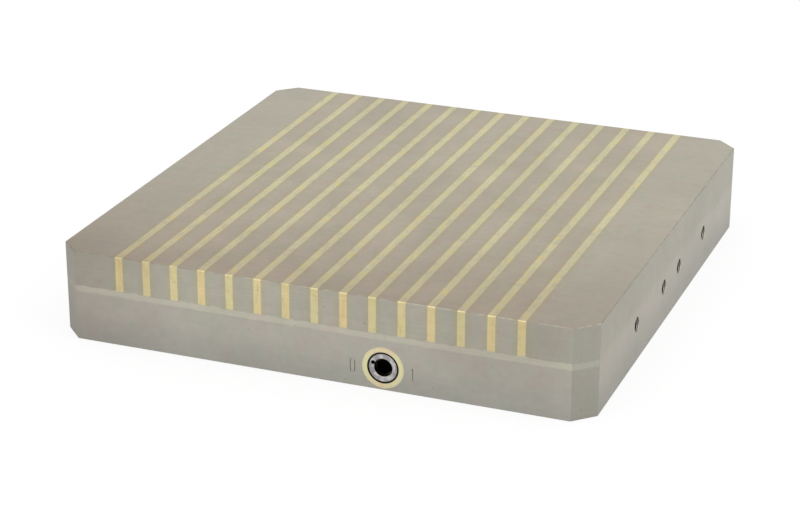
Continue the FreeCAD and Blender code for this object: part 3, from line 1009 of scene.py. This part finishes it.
@dataclass
class Drive(SubAssembly):
    """Bush, seal, shaft and slide block."""

    def dress(self) -> None:
        """Turned faces with rings, black rubber in the gap standing for its painted shade, and bronze on the crank.
        """
        self.paint(BUSH_BRASS, "front_bush")
        self.paint(SHAFT_STEEL, "drive_shaft")
        self.paint(SEAL_GAP_SHADE, "shaft_seal")
        self.paint(BRONZE, "slide_block")


@dataclass
class Fasteners(SubAssembly):
    """Screws and dowels, seen from the underside."""

    def dress(self) -> None:
        """Blackened screws and bright ground dowels."""
        self.paint(BLACK_OXIDE, "plate_screws", "stop_screw", "rail_screws")
        self.paint(DOWEL_STEEL, "dowel_pins")


@dataclass
class MagnetPack(SubAssembly):
    """The sliding pack of ferrite magnets and flux bars between its rails."""

    def dress(self) -> None:
        """Milled aluminium, sawn ferrite and ground flux bars."""
        self.paint(MILLED_ALUMINIUM, "drive_rail", "rear_rail", "pack_plate")
        self.paint(FLUX_STEEL, "flux_bars")
        self.paint(FERRITE, "magnets")


# ---- the finishes themselves ------------------------------------------------------------
# Ground tool steel: warm grey, satin, with soft clouding and lines that catch long light.
BODY_STEEL = Ground("ground_tool_steel", "b2aa9a", "aeaaa0", 0.5, anisotropy=0.3, line_tone=0.04, cloud_tone=0.03)
# The same steel in the poles, warmer on top than on its sides, a difference of painted light; brass is smeared
# beside the strips.
POLE_STEEL = Striped("ground_pole_steel", "b2aa9a", "aca89c", 0.5, anisotropy=0.3)
# The two end poles: a plainer bar, greyer, with painted shade making its sides a shade darker.
END_STEEL = Striped("ground_end_steel", "b1ac9d", "a6a397", 0.5, anisotropy=0.3, cloud_tone=0.03)
# Silver braze ground with the steel: paler, softer, and dull.
SEAM_ALLOY = Ground("ground_silver_braze", "b2aa9a", "aaa79b", 0.55)
# Drawn brass, ground: pale straw on top and deeper yellow on its ends, two tones of painted light on one brass, with
# a painted highlight on its bevels.
STRIP_BRASS = GroundBrass("ground_strip_brass", "cac5a6", "d3c884", 0.48, anisotropy=0.3, bevel_light_tone=0.2)
# Turned brass bush: pale, with fine rings, copper-red at its top and bottom, and painted shade inside its bore.
BUSH_BRASS = Turned("turned_bush_brass", "d3cda4", "d9c3a2", 0.42, anisotropy=0.5, bright="d5cfa6", open_depth=0.9)
# Turned and polished shaft end: its rings pull the light into bright fans over a purplish grey, and painted shade
# darkens its hex socket.
SHAFT_STEEL = Turned(
    "turned_shaft_steel", "969293", "9d999a", 0.32, anisotropy=0.8, bright="c2c1be",
    spot=(-5.48, 2.44), spot_radius=1.15,
)
# Moulded nitrile rubber of the shaft seal: nearly black, soft sheen; a dark ring of painted shade in the gap round
# the shaft.
SEAL_GAP_SHADE = Grained("seal_rubber_gap_shade", "141312", "1c1b1a", 0.6, metallic=0.0, relief=0.02)
# Cast and machined bronze: red-brown with an open grain.
BRONZE = Grained("machined_bronze", "a9804e", "97703f", 0.4, grain=(0.5, 3.0, 0.5))
# Blackened socket screws: oily blue-black.
BLACK_OXIDE = Grained("black_oxide_steel", "29292c", "343335", 0.45, metallic=0.7, grain=(0.4, 0.4, 0.4))
# Hardened and ground dowels: bright.
DOWEL_STEEL = Grained("ground_dowel_steel", "b9b7b1", "a6a49e", 0.3, grain=(3.0, 3.0, 0.3))
# Milled aluminium: pale, with fine feed marks.
MILLED_ALUMINIUM = Grained("milled_aluminium", "bcbec0", "aeb0b2", 0.4, grain=(6.0, 0.7, 2.0))
# Ground soft-iron flux bars.
FLUX_STEEL = Grained("ground_flux_iron", "a8a49a", "989589", 0.42, grain=(0.4, 8.0, 0.8))
# Sawn sintered ferrite: charcoal, matt and slightly gritty.
FERRITE = Grained("sintered_ferrite", "2c2b2a", "3a3937", 0.75, metallic=0.0, grain=(0.5, 0.5, 0.5), relief=0.02)
# Cut threads: flanks darkened with painted shade, and a painted glint at their crests.
THREAD_STEEL = Threaded("cut_thread_steel", "35322d", "282621", 0.4, grain=(0.8, 0.8, 0.8))
# Engraved lines, filled with old grey ink.
ENGRAVING = Inked("inked_engraving", "5f5c54", "6d6a60", 0.7, metallic=0.0, grain=(0.5, 0.5, 0.5))


# ---- the studio ---------------------------------------------------------------------------
@dataclass(frozen=True)
class Softbox:
    """A square lamp that looks at the chuck from a place given round it."""

    name: str
    azimuth: float
    elevation: float
    distance: float
    size: float
    watts: float

    def hang(self, target: Vector) -> None:
        """Hangs the lamp and turns it to the target.

        Args:
            target: Where the lamp looks.
        """
        data = bpy.data.lights.new(self.name, "AREA")
        data.shape, data.size, data.energy = "SQUARE", self.size, self.watts
        lamp = bpy.data.objects.new(self.name, data)
        way = direction(self.azimuth, self.elevation)
        lamp.location = target + way * self.distance
        lamp.rotation_mode = "QUATERNION"
        lamp.rotation_quaternion = way.to_track_quat("Z", "Y")
        bpy.context.scene.collection.objects.link(lamp)


def direction(azimuth: float, elevation: float) -> Vector:
    """The way from the chuck to a viewer.

    Args:
        azimuth: Degrees round the chuck, 0 in front and 90 on the right.
        elevation: Degrees above the floor.

    Returns:
        A vector of length 1.
    """
    turn, lift = math.radians(azimuth), math.radians(elevation)
    return Vector((math.sin(turn) * math.cos(lift), -math.cos(turn) * math.cos(lift), math.sin(lift)))


@dataclass(frozen=True)
class Studio:
    """Plain pale floor, white surroundings, soft lamps and the camera."""

    camera_place: tuple[float, float, float] = (0.43511, -1.15532, 0.51799)
    camera_azimuth: float = 21.096
    camera_elevation: float = 22.264
    camera_roll: float = -0.145
    lens: float = 104.458
    floor_half: float = 6.0
    ambient: float = 1.0
    floor_white: float = 0.85
    mirrored_white: float = 0.4

    def set_up(self) -> None:
        """Builds the whole studio."""
        self.lay_floor()
        self.surround()
        for box in (
            Softbox("overhead_softbox", 20.0, 72.0, 1.6, 1.4, 5.0),
            Softbox("right_softbox", 85.0, 25.0, 1.8, 1.0, 6.0),
            Softbox("front_softbox", -25.0, 25.0, 2.0, 1.0, 2.0),
        ):
            box.hang(Vector((0.0, 0.0, 0.025)))
        self.place_camera()

    def lay_floor(self) -> None:
        """A level square floor, a fifth of a millimetre under the chuck so that the two never mix."""
        steps = np.linspace(-self.floor_half, self.floor_half, 9)
        x, y = np.meshgrid(steps, steps, indexing="ij")
        points = np.stack([x, y, np.full_like(x, -0.0002)], axis=-1).reshape(-1, 3)
        floor = new_piece("studio_floor", points, grid_faces(9, 9, False, False))
        floor.data.materials.append(self.backdrop("pale_studio_floor"))

    def backdrop(self, name: str) -> bpy.types.Material:
        """Matt white card; where a camera or a reflection sees it, part of its white is its own.

        Args:
            name: The material's name.

        Returns:
            The material.
        """
        material = bpy.data.materials.new(name)
        material.use_nodes = True
        tree = material.node_tree
        tree.nodes.clear()
        card = add(tree, "BsdfDiffuse", ((0.9, 0.9, 0.9, 1.0),))
        white = add(tree, "Emission", (WHITE, 1.0))
        path = add(tree, "LightPath").outputs
        mirrored = add(tree, "Math", (path["Is Glossy Ray"], path["Is Transmission Ray"]), operation="MAXIMUM")
        mirrored = add(tree, "Math", (mirrored, self.mirrored_white), operation="MULTIPLY")
        share = add(tree, "Math", (path["Is Camera Ray"], self.floor_white, mirrored), operation="MULTIPLY_ADD")
        add(tree, "OutputMaterial", (add(tree, "MixShader", (share, card, white)),))
        return material

    def surround(self) -> None:
        """White surroundings, as bright to the eye and in reflections as they are to the metal."""
        world = bpy.data.worlds.new("white_studio")
        bpy.context.scene.world = world
        world.use_nodes = True
        tree = world.node_tree
        tree.nodes.clear()
        path = add(tree, "LightPath").outputs
        seen = add(tree, "Math", (path["Is Camera Ray"], path["Is Glossy Ray"]), operation="MAXIMUM")
        seen = add(tree, "Math", (seen, path["Is Transmission Ray"]), operation="MAXIMUM")
        strength = add(tree, "MapRange", (seen, 0.0, 1.0, self.ambient, 1.0))
        add(tree, "OutputWorld", (add(tree, "Background", (WHITE, strength)),))

    def place_camera(self) -> None:
        """Puts the camera at its station, level but for a small roll."""
        back = direction(self.camera_azimuth, self.camera_elevation)
        right = (-back).cross(Vector((0.0, 0.0, 1.0))).normalized()
        up = right.cross(-back)
        roll = math.radians(self.camera_roll)
        side = right * math.cos(roll) - up * math.sin(roll)
        top = right * math.sin(roll) + up * math.cos(roll)
        data = bpy.data.cameras.new("camera")
        data.lens, data.sensor_width, data.sensor_fit = self.lens, 36.0, "HORIZONTAL"
        data.clip_start, data.clip_end = 0.05, 50.0
        camera = bpy.data.objects.new("camera", data)
        turned = Matrix((side, top, back)).transposed().to_4x4()
        camera.matrix_world = Matrix.Translation(Vector(self.camera_place)) @ turned
        bpy.context.scene.collection.objects.link(camera)
        bpy.context.scene.camera = camera


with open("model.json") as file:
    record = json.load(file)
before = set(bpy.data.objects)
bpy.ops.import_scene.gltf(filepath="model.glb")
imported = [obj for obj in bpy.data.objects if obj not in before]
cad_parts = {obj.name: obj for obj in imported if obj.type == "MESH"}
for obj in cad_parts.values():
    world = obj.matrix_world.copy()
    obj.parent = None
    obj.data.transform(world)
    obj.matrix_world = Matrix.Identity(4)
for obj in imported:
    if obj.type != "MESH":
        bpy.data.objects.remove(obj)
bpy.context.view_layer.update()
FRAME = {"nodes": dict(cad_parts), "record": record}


def main() -> None:
    """Builds and dresses the sub-assemblies in order, then sets up the studio."""
    logging.basicConfig(level=logging.INFO, format="%(name)s %(message)s")
    nodes = FRAME["nodes"]
    for assembly in (Housing(nodes), PolePlate(nodes), Drive(nodes), Fasteners(nodes), MagnetPack(nodes)):
        assembly.build()
        assembly.dress()
    Studio().set_up()
    bpy.context.scene.view_settings.view_transform = "Standard"


if __name__ == "__main__":
    main()
